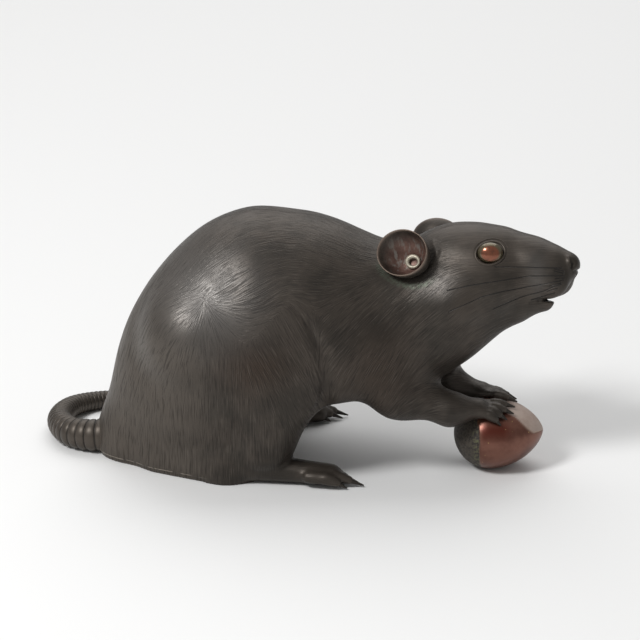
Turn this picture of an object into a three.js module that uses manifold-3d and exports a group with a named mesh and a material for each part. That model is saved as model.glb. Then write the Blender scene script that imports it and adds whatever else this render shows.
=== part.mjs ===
// A cast bronze rat that crouches on its haunches and holds a chestnut under both forepaws.
// Millimetres, +Z up. The rat faces +X, its right side is -Y, and it stands on the plane Z = 0.
import * as THREE from "three";
import Module from "manifold-3d";
import { mergeVertices } from "three/addons/utils/BufferGeometryUtils.js";

const wasm = await Module();
wasm.setup();
const { degToRad, lerp, clamp, smoothstep } = THREE.MathUtils;

// Driving dimensions
const RAT_LENGTH = 172; // rump to nose, measured along X
const NUT_LENGTH = 32;
const NUT_WIDTH = 29;
const NUT_HEIGHT = 25;
const NUT_WAIST = 0.4; // where it is thickest, as a share of its length from the dull end
const NUT_TIP_SHARPNESS = 1.5; // 1 is a round end, over 1 a pointed one
const NUT_TILT = degToRad(4); // the tip is lifted
const EAR_DIAMETER = 19.2;
const EAR_DEPTH = 7.5;
const EAR_WALL = 1;
const EAR_LEAN = 0.35; // the bowl's bottom goes forward and down by this much of the depth
const EYE_LENGTH = 9;
const EYE_HEIGHT = 6.4;
const EYE_DEPTH = 6;
const TAIL_ROOT_RADIUS = 6.3;
const TAIL_TIP_RADIUS = 1.6;
const TAIL_RINGS = 40;
const TAIL_GROOVE = 0.09; // depth of the cut between two rings, as a share of the radius
const TAIL_CLEARANCE = 0.1; // between the tail and the ground
const FOOT_TOE_RADIUS = 2.1;
const FINGER_RADIUS = 1.7;
const CLAW_RADIUS = 0.8;
const SEAT_GAP = 0.3; // between a piece and the socket or surface that it sits on
const CUT_DEPTH = 4; // the body reaches this far under the ground plane before it is cut flat there

// The rat is a free form: its places and radii are shares of its length, written in this unit.
const UNIT = RAT_LENGTH / 172;
const at = (x, y, z) => new THREE.Vector3(x, y, z).multiplyScalar(UNIT);
const SIDES = [-1, 1]; // right, left
const sideName = (side) => (side < 0 ? "right" : "left");

// The head has a frame of its own: X to the nose, Y to the left ear, Z to the crown.
const headTurn = new THREE.Euler(
  degToRad(-14), // the right cheek is raised
  degToRad(-5), // the nose is lifted
  degToRad(-18), // the face is turned to the rat's right
  "ZYX",
);
const headFrame = new THREE.Matrix4().makeRotationFromEuler(headTurn).setPosition(at(55, -9, 75));
const worldToHead = headFrame.clone().invert();

// The nut's middle, at its thickest place. It lies a little into the ground plane, which cuts it flat.
const NUT_WEAR = 0.3;
const nutCentre = at(63.8, -12, 0).setZ(NUT_HEIGHT / 2 - NUT_WEAR);

// Solid shapes as fields: a field gives a point's distance outside a surface, negative inside.
function ellipsoid(centre, radii) {
  const q = new THREE.Vector3();
  const squares = radii.clone().multiply(radii);
  return (p) => {
    q.copy(p).sub(centre);
    const near = Math.hypot(q.x / radii.x, q.y / radii.y, q.z / radii.z);
    const slope = Math.hypot(q.x / squares.x, q.y / squares.y, q.z / squares.z);
    return slope === 0 ? -Math.min(radii.x, radii.y, radii.z) : (near * (near - 1)) / slope;
  };
}

// A limb runs between two centres and tapers from one radius to the other.
// Width is its Y radius as a share of its other radius.
function limb(start, end, startRadius, endRadius, width = 1) {
  const squeeze = new THREE.Vector3(1, 1 / width, 1);
  const a = start.clone().multiply(squeeze);
  const run = end.clone().multiply(squeeze).sub(a);
  const scale = Math.min(1, (1 + width) / 2);
  const q = new THREE.Vector3();
  return (p) => {
    q.copy(p).multiply(squeeze).sub(a);
    const t = clamp(q.dot(run) / run.lengthSq(), 0, 1);
    const radius = lerp(startRadius, endRadius, t) * UNIT;
    return (q.addScaledVector(run, -t).length() - radius) * scale;
  };
}

// Joins fields, with a fillet where two surfaces come nearer to each other than the reach.
function melt(fields, reach) {
  const k = reach * UNIT;
  return (p) => {
    let [d, ...others] = fields.map((field) => field(p));
    for (const e of others) {
      const h = Math.max(k - Math.abs(d - e), 0) / k;
      d = Math.min(d, e) - (h * h * k) / 4;
    }
    return d;
  };
}

// Grid lines from low to high, with one step up to a change and another beyond it.
function ruling(low, change, high, step, stepBeyond) {
  const lines = [];
  for (let v = low; v < change; v += step) lines.push(v * UNIT);
  for (let v = change; v < high + stepBeyond; v += stepBeyond) lines.push(v * UNIT);
  return lines;
}

// Where a grid square has its inside corners on one diagonal and its outside corners on the other,
// fills the outside corner nearest to the surface, so that no two sheets of skin share an edge.
function fillCheckers(value, counts, strides) {
  const filled = -0.5; // millimetres inside the surface
  const axisPairs = [
    [0, 1],
    [1, 2],
    [0, 2],
  ];
  let changed = true;
  while (changed) {
    changed = false;
    for (let corner = 0; corner < value.length; corner++)
      for (const [a, b] of axisPairs) {
        const place = (axis) => Math.floor(corner / strides[axis]) % counts[axis];
        if (place(a) + 1 >= counts[a] || place(b) + 1 >= counts[b]) continue;
        const square = [0, strides[a], strides[b], strides[a] + strides[b]].map((s) => corner + s);
        const [s, t, u, v] = square.map((n) => value[n] < 0);
        if (s !== v || t !== u || s === t) continue;
        const outside = square.filter((n) => value[n] >= 0).sort((m, n) => value[m] - value[n]);
        value[outside[0]] = filled;
        changed = true;
      }
  }
}

// Meshes a field's zero surface: one vertex in each grid cell that the surface crosses.
function skin(field, xs, ys, zs) {
  const [nx, ny, nz] = [xs.length, ys.length, zs.length];
  const node = (i, j, k) => (i * ny + j) * nz + k;
  const p = new THREE.Vector3();
  const value = new Float32Array(nx * ny * nz);
  for (let i = 0; i < nx; i++)
    for (let j = 0; j < ny; j++)
      for (let k = 0; k < nz; k++) value[node(i, j, k)] = field(p.set(xs[i], ys[j], zs[k]));
  fillCheckers(value, [nx, ny, nz], [ny * nz, nz, 1]);

  const corners = [0, 1, 2, 3, 4, 5, 6, 7].map((c) => [c >> 2, (c >> 1) & 1, c & 1]);
  const edges = [];
  for (const a of corners)
    for (const b of corners) {
      const steps = [0, 1, 2].map((e) => b[e] - a[e]);
      if (Math.min(...steps) === 0 && steps[0] + steps[1] + steps[2] === 1) edges.push([a, b]);
    }
  const places = [];
  const vertexOf = new Int32Array(nx * ny * nz).fill(-1);
  for (let i = 0; i < nx - 1; i++)
    for (let j = 0; j < ny - 1; j++)
      for (let k = 0; k < nz - 1; k++) {
        const sum = new THREE.Vector3();
        let crossings = 0;
        for (const [a, b] of edges) {
          const va = value[node(i + a[0], j + a[1], k + a[2])];
          const vb = value[node(i + b[0], j + b[1], k + b[2])];
          if (va < 0 === vb < 0) continue;
          const t = va / (va - vb);
          p.x = lerp(xs[i + a[0]], xs[i + b[0]], t);
          p.y = lerp(ys[j + a[1]], ys[j + b[1]], t);
          p.z = lerp(zs[k + a[2]], zs[k + b[2]], t);
          sum.add(p);
          crossings++;
        }
        if (!crossings) continue;
        vertexOf[node(i, j, k)] = places.length / 3;
        places.push(...sum.divideScalar(crossings));
      }

  const faces = [];
  const gap = (m, n) => Math.hypot(...[0, 1, 2].map((e) => places[3 * m + e] - places[3 * n + e]));
  const quad = (corner, next, opposite, last, outward) => {
    const [s, t, u, v] = outward ? [corner, next, opposite, last] : [last, opposite, next, corner];
    if (gap(s, u) <= gap(t, v)) faces.push(s, t, u, s, u, v);
    else faces.push(t, u, v, t, v, s);
  };
  for (let i = 0; i < nx - 1; i++)
    for (let j = 0; j < ny - 1; j++)
      for (let k = 0; k < nz - 1; k++) {
        const inside = value[node(i, j, k)] < 0;
        const cell = (di, dj, dk) => vertexOf[node(i - di, j - dj, k - dk)];
        if (inside !== value[node(i + 1, j, k)] < 0)
          quad(cell(0, 0, 0), cell(0, 1, 0), cell(0, 1, 1), cell(0, 0, 1), inside);
        if (inside !== value[node(i, j + 1, k)] < 0)
          quad(cell(0, 0, 0), cell(0, 0, 1), cell(1, 0, 1), cell(1, 0, 0), inside);
        if (inside !== value[node(i, j, k + 1)] < 0)
          quad(cell(0, 0, 0), cell(1, 0, 0), cell(1, 1, 0), cell(0, 1, 0), inside);
      }
  return meshOf(places, faces);
}

// A closed tube along a curve; radiusAt gives its radius at each share of the length.
function tube(curve, radiusAt, steps, sides) {
  const frames = curve.computeFrenetFrames(steps);
  const places = [];
  const faces = [];
  for (let i = 0; i <= steps; i++) {
    const centre = curve.getPointAt(i / steps);
    for (let j = 0; j < sides; j++) {
      const angle = (2 * Math.PI * j) / sides;
      const rim = centre.clone();
      rim.addScaledVector(frames.normals[i], Math.cos(angle) * radiusAt(i / steps));
      rim.addScaledVector(frames.binormals[i], Math.sin(angle) * radiusAt(i / steps));
      places.push(...rim);
    }
  }
  const corner = (ring, j) => ring * sides + (j % sides);
  const startHub = places.length / 3;
  const endHub = startHub + 1;
  places.push(...curve.getPointAt(0), ...curve.getPointAt(1));
  for (let j = 0; j < sides; j++) {
    for (let i = 0; i < steps; i++) {
      faces.push(corner(i, j), corner(i, j + 1), corner(i + 1, j));
      faces.push(corner(i, j + 1), corner(i + 1, j + 1), corner(i + 1, j));
    }
    faces.push(startHub, corner(0, j + 1), corner(0, j));
    faces.push(endHub, corner(steps, j), corner(steps, j + 1));
  }
  return meshOf(places, faces);
}

function meshOf(places, faces) {
  const geometry = new THREE.BufferGeometry();
  geometry.setAttribute("position", new THREE.Float32BufferAttribute(places, 3));
  geometry.setIndex(faces);
  return geometry;
}

function solid(geometry) {
  const bare = geometry.clone();
  bare.deleteAttribute("normal");
  bare.deleteAttribute("uv");
  const merged = mergeVertices(bare, 1e-4);
  return new wasm.Manifold(
    new wasm.Mesh({
      numProp: 3,
      vertProperties: merged.attributes.position.array,
      triVerts: new Uint32Array(merged.index.array),
    }),
  );
}

function named(name, manifold, material) {
  const { vertProperties, triVerts } = manifold.getMesh();
  const geometry = meshOf([...vertProperties], [...triVerts]);
  geometry.computeVertexNormals();
  const mesh = new THREE.Mesh(geometry, material);
  mesh.name = name;
  return mesh;
}

// Everything below the plane that the rat stands on.
function groundBlock() {
  const size = 2 * RAT_LENGTH;
  return solid(new THREE.BoxGeometry(size, size, size).translate(0, 0, -size / 2));
}

// Chestnut: a pointed drop along X, wider than it is high, worn flat where it touches the ground.
function nutSolid(grow = 0) {
  const radius = NUT_HEIGHT / 2 + grow;
  const stops = 12;
  const profile = [];
  for (let i = 0; i <= stops; i++) {
    const angle = Math.PI * (i / stops - 0.5);
    const towardsTip = angle > 0;
    const reach = NUT_LENGTH * (towardsTip ? 1 - NUT_WAIST : NUT_WAIST) + grow;
    const sharpness = towardsTip ? NUT_TIP_SHARPNESS : 1;
    const rim = i % stops ? radius * Math.cos(angle) ** sharpness : 0;
    profile.push(new THREE.Vector2(rim, reach * Math.sin(angle)));
  }
  const geometry = new THREE.LatheGeometry(profile, 16)
    .rotateZ(-Math.PI / 2)
    .scale(1, NUT_WIDTH / NUT_HEIGHT, 1)
    .rotateY(-NUT_TILT)
    .translate(...nutCentre);
  return solid(geometry).subtract(groundBlock());
}

// The centre of a ball of that radius that rests on the nut.
// Its place is given in half lengths and half widths of the nut from the nut's middle.
function onNut(forward, outward, radius) {
  const rise = Math.sqrt(Math.max(1 - forward ** 2 - outward ** 2, 0.04));
  const middle = NUT_LENGTH * (0.5 - NUT_WAIST);
  return new THREE.Vector3(
    nutCentre.x + middle + (forward * NUT_LENGTH) / 2,
    nutCentre.y + (outward * NUT_WIDTH) / 2,
    nutCentre.z + (rise * NUT_HEIGHT) / 2 + SEAT_GAP + radius,
  );
}

// Torso: rump, hump, chest and neck, hollowed underneath from the rump's flat base up to the belly.
function torsoField() {
  const masses = melt(
    [
      limb(at(-58.5, 1.5, 5), at(-31, 0, 29), 19.5, 38.5, 0.8),
      limb(at(-31, 0, 29), at(-13, 0, 46), 38.5, 43.5, 0.8),
      limb(at(-13, 0, 46), at(21, -2, 49), 43.6, 27.5, 0.86),
      limb(at(21, -2, 49), at(42, -6, 58), 27, 20, 0.92),
      limb(at(42, -6, 58), at(57, -9, 68), 20, 15, 0.95),
    ],
    12,
  );
  const bellyHeight = (x) => lerp(-14, 22, smoothstep(x / UNIT, -38, 8)) * UNIT;
  const flesh = (p) => -masses(p);
  const air = (p) => p.z - bellyHeight(p.x);
  const hollowed = melt([flesh, air], 9);
  return (p) => -hollowed(p);
}

// The right foot stands a little further forward than the left one.
const footReach = (side) => (side < 0 ? 5 : 0);

function hindLegField(side) {
  const heel = at(-36 + footReach(side), 27 * side, 6);
  const toeRoot = at(2 + footReach(side), 31 * side, 3.6);
  return melt(
    [
      limb(at(-38, 16 * side, 50), at(-10, 22 * side, 41), 22, 13),
      limb(at(-10, 23 * side, 41), at(-27, 26 * side, 10), 12.5, 11),
      limb(heel, toeRoot, 6, 3.6, 1.25),
    ],
    6,
  );
}

// Toe tips from the inner toe to the outer one: forward, outward.
const TOE_TIPS = [
  [-3, 24.5],
  [7, 27.5],
  [11.5, 30.5],
  [13.5, 33.5],
  [7.5, 36],
];

function hindToes(side) {
  const middle = (TOE_TIPS.length - 1) / 2;
  return TOE_TIPS.map(([forward, outward], i) => {
    const spread = (i - middle) * 0.9 * FOOT_TOE_RADIUS;
    const root = at(-6 + footReach(side), 30 * side, 4);
    root.y += spread * side;
    const tip = at(forward + footReach(side), outward * side, 0).setZ(CLAW_RADIUS);
    return digit(root, tip, FOOT_TOE_RADIUS);
  });
}

// The palm's place on the nut, in half lengths and half widths.
const palmPlace = (side) => (side < 0 ? [-0.48, -0.5] : [-0.36, 0.55]);
const palmOf = (side) => onNut(...palmPlace(side), FINGER_RADIUS * 1.4);

// The right forearm lies level; the left one comes down steeply beside the throat.
function foreLegField(side) {
  const elbow = side < 0 ? at(31, -20, 31) : at(41, 7, 37);
  const wrist = palmOf(side).add(side < 0 ? at(-10, -2.5, 0.6) : at(-10.5, 3, 1));
  return melt(
    [
      limb(at(24, 16 * side, 46), elbow, 14, 9),
      limb(elbow, wrist, 9, 5),
      limb(wrist, palmOf(side), 5, 3.4, 1.3),
    ],
    5,
  );
}

// Finger tips on the nut, inner finger first, in half lengths and half widths.
const FINGER_TIPS = {
  right: [
    [0.22, -0.1],
    [0.2, -0.38],
    [0.1, -0.64],
    [-0.1, -0.84],
  ],
  left: [
    [0.24, 0.12],
    [0.3, 0.36],
    [0.2, 0.6],
    [-0.05, 0.8],
  ],
};

function fingers(side) {
  const tips = FINGER_TIPS[sideName(side)];
  const middle = (tips.length - 1) / 2;
  return tips.map(([forward, outward], i) => {
    const root = palmOf(side);
    root.y += (i - middle) * 1.1 * FINGER_RADIUS * side;
    return digit(root, onNut(forward, outward, CLAW_RADIUS), FINGER_RADIUS);
  });
}

// A toe or finger: it arches from its root to its tip and ends in a claw.
function digit(root, tip, radius) {
  const knuckle = root.clone().lerp(tip, 0.55);
  knuckle.z += radius * 0.9;
  const curve = new THREE.CatmullRomCurve3([root, knuckle, tip]);
  const clawStart = 0.72; // share of the length
  const radiusAt = (t) =>
    t < clawStart
      ? lerp(radius * 1.1, radius * 0.85, t / clawStart)
      : lerp(CLAW_RADIUS * 1.3, CLAW_RADIUS * 0.35, (t - clawStart) / (1 - clawStart));
  return solid(tube(curve, radiusAt, 4, 6));
}

// Head, in its own frame: skull, snout, nose, throat, chin and cheeks.
function headField() {
  const masses = [
    ellipsoid(at(-1, 0, 0.5), at(20, 15.5, 14.5)),
    limb(at(8, 0, 0.3), at(24, 0, -1.3), 12.5, 9.8, 0.9),
    limb(at(24, 0, -1.3), at(31.8, 0, -2), 9.8, 7, 0.86),
    limb(at(33, 0, 1.6), at(36, 0, 1.8), 3.6, 3.1, 1.15),
    limb(at(-4, 0, -18), at(16, 0, -12.6), 14, 7.6, 0.9),
    limb(at(16, 0, -12.6), at(29.2, 0, -11.8), 7.6, 3),
    ...SIDES.map((side) => ellipsoid(at(5, 8.5 * side, -6), at(15, 8, 12))),
  ];
  const field = melt(masses, 5);
  const local = new THREE.Vector3();
  return (p) => field(local.copy(p).applyMatrix4(worldToHead));
}

function mouthCut() {
  const geometry = new THREE.SphereGeometry(UNIT, 10, 8)
    .scale(6, 6, 1.3)
    .translate(...at(31.5, 0, -10.6))
    .applyMatrix4(headFrame);
  return solid(geometry);
}

// Ear: a thin oval bowl that opens outwards and up. Its bottom sits at the ear's root and leans forward.
function earLathe(profile, side) {
  const mirrored = profile.map((p) => new THREE.Vector2(p.x, p.y * side));
  const lean = new THREE.Matrix4().makeShear(0, 0, -EAR_LEAN * side, EAR_LEAN * side, 0, 0);
  const opening = new THREE.Vector3(-0.1, 0.96 * side, 0.2).normalize();
  const turn = new THREE.Quaternion().setFromUnitVectors(new THREE.Vector3(0, side, 0), opening);
  const bottom = new THREE.Vector3(0, -EAR_DEPTH * side, 0).applyMatrix4(lean).applyQuaternion(turn);
  const geometry = new THREE.LatheGeometry(side < 0 ? mirrored.reverse() : mirrored, 14)
    .applyMatrix4(lean)
    .applyQuaternion(turn)
    .translate(...at(-13.8, 14.5 * side, 1.2).sub(bottom))
    .applyMatrix4(headFrame);
  return solid(geometry);
}

// A quarter of an oval, from the bowl's bottom on its axis out to the rim.
function bowlArc(radius, depth) {
  const stops = 5;
  const points = [new THREE.Vector2(0, -depth)];
  for (let i = 1; i <= stops; i++) {
    const angle = (Math.PI / 2) * (i / stops);
    points.push(new THREE.Vector2(radius * Math.sin(angle), -depth * Math.cos(angle)));
  }
  return points;
}

function earSolid(side) {
  const outside = bowlArc(EAR_DIAMETER / 2, EAR_DEPTH);
  const inside = bowlArc(EAR_DIAMETER / 2 - EAR_WALL, EAR_DEPTH - EAR_WALL);
  return earLathe([...outside, ...inside.reverse()], side);
}

// The socket takes the whole bowl and what lies in front of it, so that the ear stays open.
function earSocket(side) {
  const radius = EAR_DIAMETER / 2 + SEAT_GAP;
  const outside = bowlArc(radius, EAR_DEPTH + SEAT_GAP);
  const front = [new THREE.Vector2(radius, EAR_DEPTH), new THREE.Vector2(0, EAR_DEPTH)];
  return earLathe([...outside, ...front], side);
}

// Eye: an oval bead let into the cheek, its front corner lower than its rear one.
function eyeSolid(side, grow = 0) {
  const followCheek = degToRad(-16) * side;
  const geometry = new THREE.SphereGeometry(1, 12, 8)
    .scale(EYE_LENGTH / 2 + grow, EYE_DEPTH / 2 + grow, EYE_HEIGHT / 2 + grow)
    .rotateZ(followCheek)
    .translate(...at(11.7, 12.4 * side, 4.9))
    .applyMatrix4(headFrame);
  return solid(geometry);
}

// The tail leaves the rump, turns back round the left side and lies along the flank to its tip.
const TAIL_PLAN = [
  [-72, 1.4],
  [-79, 1],
  [-88, 6],
  [-93, 20],
  [-89, 35],
  [-76, 43.5],
  [-55, 44.5],
  [-33, 44],
  [-14, 43],
];
const tailRadius = (t) => lerp(TAIL_ROOT_RADIUS, TAIL_TIP_RADIUS, 1.55 * t - 0.55 * t * t);

function tailTube(radiusAt, steps) {
  const plan = new THREE.CatmullRomCurve3(TAIL_PLAN.map(([x, y]) => at(x, y, 0)));
  const stops = plan.getSpacedPoints(3 * TAIL_PLAN.length);
  stops.forEach((stop, i) => stop.setZ(tailRadius(i / (stops.length - 1)) + TAIL_CLEARANCE));
  return solid(tube(new THREE.CatmullRomCurve3(stops), radiusAt, steps, 8));
}

function tailSolid() {
  const steps = 2 * TAIL_RINGS;
  const isGroove = (t) => Math.round(t * steps) % 2 === 0;
  return tailTube((t) => tailRadius(t) * (isGroove(t) ? 1 - TAIL_GROOVE : 1), steps);
}

const tailSocket = () => tailTube((t) => tailRadius(t) + SEAT_GAP, TAIL_RINGS);

// Body: one casting, with sockets for the pieces let into it.
function bodySolid() {
  const figure = melt(
    [torsoField(), ...SIDES.map(hindLegField), ...SIDES.map(foreLegField), headField()],
    7,
  );
  const field = (p) => Math.max(figure(p), -p.z - CUT_DEPTH);
  const xs = ruling(-84, 46, 102, 6, 3.4);
  const ys = ruling(-48, 48, 48, 5.2, 5.2);
  const zs = ruling(-8, 56, 100, 5, 3.6);
  let body = solid(skin(field, xs, ys, zs));
  for (const side of SIDES)
    for (const piece of [...hindToes(side), ...fingers(side)]) body = body.add(piece);
  const cuts = [mouthCut(), tailSocket(), nutSolid(SEAT_GAP), groundBlock()];
  for (const side of SIDES) cuts.push(earSocket(side), eyeSolid(side, SEAT_GAP));
  for (const cut of cuts) body = body.subtract(cut);
  return body;
}

const bronze = new THREE.MeshStandardMaterial({ color: 0x3f3a35, roughness: 0.5, metalness: 0.8 });
const copper = new THREE.MeshStandardMaterial({ color: 0x7a4636, roughness: 0.3, metalness: 0.9 });
const darkCopper = new THREE.MeshStandardMaterial({ color: 0x4a352e, roughness: 0.4, metalness: 0.8 });

const okimono = new THREE.Group();
okimono.add(named("rat_body", bodySolid(), bronze));
okimono.add(named("tail", tailSolid(), bronze));
okimono.add(named("chestnut", nutSolid(), copper));
for (const side of SIDES) {
  okimono.add(named(`ear_${sideName(side)}`, earSolid(side), darkCopper));
  okimono.add(named(`eye_${sideName(side)}`, eyeSolid(side), copper));
}

// The origin is on the ground, under the middle of the whole piece.
const middle = new THREE.Box3().setFromObject(okimono, true).getCenter(new THREE.Vector3());
okimono.position.set(-middle.x, -middle.y, 0);

export default okimono;
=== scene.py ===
"""A cast bronze rat that crouches on its haunches and holds a copper chestnut under both forepaws."""

import math

import bpy
import numpy as np
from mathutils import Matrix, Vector


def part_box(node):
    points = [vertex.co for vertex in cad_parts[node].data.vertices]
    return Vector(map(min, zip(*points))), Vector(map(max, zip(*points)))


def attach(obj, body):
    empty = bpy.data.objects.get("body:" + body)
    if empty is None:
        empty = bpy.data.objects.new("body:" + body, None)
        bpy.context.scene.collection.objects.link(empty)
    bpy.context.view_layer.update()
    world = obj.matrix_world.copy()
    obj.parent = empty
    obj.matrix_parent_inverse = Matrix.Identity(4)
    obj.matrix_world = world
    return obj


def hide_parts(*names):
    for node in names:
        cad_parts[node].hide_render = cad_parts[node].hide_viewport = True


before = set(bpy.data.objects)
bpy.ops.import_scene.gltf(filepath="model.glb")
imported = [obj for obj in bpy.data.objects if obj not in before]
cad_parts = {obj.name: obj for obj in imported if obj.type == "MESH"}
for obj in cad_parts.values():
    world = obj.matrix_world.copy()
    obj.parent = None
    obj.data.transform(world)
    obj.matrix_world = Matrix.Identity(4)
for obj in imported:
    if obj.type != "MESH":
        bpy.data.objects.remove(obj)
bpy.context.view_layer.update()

# Sizes in millimetres. The rat faces +X, its right side is -Y, and it stands on the plane Z = 0.
NUT_LENGTH = 32
NUT_WIDTH = 29
NUT_HEIGHT = 25
NUT_WAIST = 0.4  # where it is thickest, as a share of its length from the dull end
NUT_TIP_SHARPNESS = 1.3
NUT_TILT = math.radians(4)
NUT_WEAR = 0.3  # how much of it the ground cuts off
NUT_CENTRE = np.array([63.8, -12, NUT_HEIGHT / 2 - NUT_WEAR])
EAR_RADIUS = 9
EAR_DEPTH = 7.5
EAR_WALL = 0.9
EAR_RIM = 0.3  # thickness at the edge
EAR_LEAN = 0.35  # how far the rim lies behind and above the bottom, as a share of the depth
EAR_WIDE = 1.05  # stretch along the head
EAR_HIGH = 0.91  # stretch in height
CANAL_RADIUS = 2.1  # of the ring round the ear's canal
EYE_RADII = np.array([4.5, 3, 3.8])
EYE_PLACE = np.array([11.7, 12.4, 4.9])  # in the head's frame, for the left side
LID_RADIUS = 0.42
TAIL_ROOT_RADIUS = 6.3
TAIL_TIP_RADIUS = 1.6
TAIL_RING = 0.5  # length of a ring as a share of the radius there
TAIL_GROOVE = 0.13  # depth of the cut between two rings as a share of the radius
TAIL_CLEARANCE = 0.1
TOE_RADIUS = 2.1
FINGER_RADIUS = 1.7
CLAW_RADIUS = 0.8
TAPER_EASE = 0.4  # how softly a limb's taper starts and ends, as a share of it
SEAT_GAP = 0.3
SEAM_HEIGHT = 1.7  # of the strip set back under the rump
SEAM_DEPTH = 0.5
SEAM_END = -38  # forward of this the foot covers it
HAIR_PITCH = 0.3  # spacing of the hair lines
HAIR_LENGTH = 7  # length of a stroke
HAIR_SLOPES = 12  # directions within the surface that the hair lines are drawn in
HAIR_TILTS = 6  # planes that they are drawn on, from facing down to facing up
SIDES = (-1, 1)  # right, left
SIDE_NAMES = {-1: "right", 1: "left"}


def unit(v):
    return v / np.linalg.norm(v, axis=-1, keepdims=True)


def turned(x=0, y=0, z=0):
    """The matrix of turns in degrees about X, then Y, then Z."""
    a, b, c = np.radians([x, y, z])
    about_x = [[1, 0, 0], [0, math.cos(a), -math.sin(a)], [0, math.sin(a), math.cos(a)]]
    about_y = [[math.cos(b), 0, math.sin(b)], [0, 1, 0], [-math.sin(b), 0, math.cos(b)]]
    about_z = [[math.cos(c), -math.sin(c), 0], [math.sin(c), math.cos(c), 0], [0, 0, 1]]
    return np.array(about_z) @ about_y @ about_x


def smooth(value, low, high):
    """A smooth step from 0 at low to 1 at high."""
    t = np.clip((value - low) / (high - low), 0, 1)
    return t * t * (3 - 2 * t)


# The head has a frame of its own: X to the nose, Y to the left ear, Z to the crown.
HEAD_PLACE = np.array([55, -9, 75])
HEAD_TURN = turned(-14, -5, -18)


def from_head(p):
    return np.asarray(p) @ HEAD_TURN.T + HEAD_PLACE


def to_head(p):
    return (p - HEAD_PLACE) @ HEAD_TURN


# Solid shapes as fields: a field gives each point's distance outside a surface, negative inside.
def ellipsoid(centre, radii, turn=np.eye(3)):
    centre = np.array(centre, float)
    radii = np.array(radii, float)

    def field(p):
        q = (p - centre) @ turn + 1e-6
        near = np.linalg.norm(q / radii, axis=1)
        return near * (near - 1) / np.linalg.norm(q / radii**2, axis=1)

    return field


def limb(start, end, start_radius, end_radius, width=1):
    """A tapered limb between two centres. Width is its Y radius as a share of the other one."""
    squeeze = np.array([1, 1 / width, 1])
    a = np.array(start) * squeeze
    run = np.array(end) * squeeze - a
    scale = min(1, (1 + width) / 2)

    def field(p):
        q = p * squeeze - a
        share = q @ run / (run @ run)
        taper = blend(-blend(-share, 0, TAPER_EASE), 1, TAPER_EASE)
        radius = start_radius + (end_radius - start_radius) * taper
        return (np.linalg.norm(q - np.clip(share, 0, 1)[:, None] * run, axis=1) - radius) * scale

    return field


def chain(stops, radii):
    """A bent limb through several centres."""
    links = zip(stops, stops[1:], radii, radii[1:])
    return melt([limb(*link) for link in links], 0.6)


def blend(a, b, reach):
    """The union of two distances, with a fillet where the surfaces are near to each other."""
    h = np.maximum(reach - np.abs(a - b), 0) / reach
    return np.minimum(a, b) - h * h * reach / 4


def melt(fields, reach):
    def field(p):
        d = fields[0](p)
        for other in fields[1:]:
            d = blend(d, other(p), reach)
        return d

    return field


def smooth_line(stops, count):
    """Evenly spaced points on a curve through the stops."""
    stops = np.array(stops, float)
    p = np.vstack([2 * stops[0] - stops[1], stops, 2 * stops[-1] - stops[-2]])
    knot = np.concatenate([[0], np.cumsum(np.linalg.norm(np.diff(p, axis=0), axis=1) ** 0.5)])
    dense = []
    for i in range(1, len(p) - 2):
        t = np.linspace(knot[i], knot[i + 1], 40)[:, None]

        def lerp(a, b, start, end):
            return (a * (end - t) + b * (t - start)) / (end - start)

        k = knot[i - 1 : i + 3]
        first = [lerp(p[i - 1 + n], p[i + n], k[n], k[n + 1]) for n in range(3)]
        second = [lerp(first[n], first[n + 1], k[n], k[n + 2]) for n in range(2)]
        dense.append(lerp(second[0], second[1], k[1], k[2]))
    dense = np.vstack(dense)
    length = np.concatenate([[0], np.cumsum(np.linalg.norm(np.diff(dense, axis=0), axis=1))])
    marks = np.linspace(0, length[-1], count)
    return np.column_stack([np.interp(marks, length, dense[:, e]) for e in range(dense.shape[1])])


def drop(points, direction, field):
    """Moves points along a direction until they meet a surface."""
    p = np.array(points, float)
    for _ in range(50):
        p = p + np.asarray(direction) * field(p)[:, None] * 0.8
    return p


# Chestnut: a pointed drop along X.
NUT_TURN = turned(y=-math.degrees(NUT_TILT))


def nut_local(p):
    """Points along the nut's axis, and from it: share of the length from the middle, and radius."""
    q = (p - NUT_CENTRE) @ NUT_TURN
    return q[:, 0], np.hypot(q[:, 1] * NUT_HEIGHT / NUT_WIDTH, q[:, 2])


def nut_rim(along, grow=0):
    """The nut's radius at a distance along its axis from the thickest place."""
    dull = NUT_WAIST * NUT_LENGTH + grow
    sharp = (1 - NUT_WAIST) * NUT_LENGTH + grow
    share = np.clip(np.where(along < 0, along / dull, along / sharp), -1, 1)
    cosine = np.sqrt(1 - share**2)
    return (NUT_HEIGHT / 2 + grow) * np.where(along < 0, cosine, cosine**NUT_TIP_SHARPNESS)


def nut_field(p):
    along, radius = nut_local(p)
    beyond = np.maximum(np.abs(along) - 0.7 * NUT_LENGTH, 0)
    return radius - nut_rim(along, SEAT_GAP) + beyond


def on_nut(forward, outward, radius):
    """The centre of a ball that rests on the nut, placed in half lengths and half widths of it."""
    along = NUT_LENGTH * (0.5 - NUT_WAIST + forward / 2)
    full = float(nut_rim(along)) / (NUT_HEIGHT / 2)
    rise = math.sqrt(max(full**2 - outward**2, 0.04)) * NUT_HEIGHT / 2
    lift = along * math.sin(NUT_TILT) + rise + SEAT_GAP + radius
    return NUT_CENTRE + [along, outward * NUT_WIDTH / 2, lift]


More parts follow.
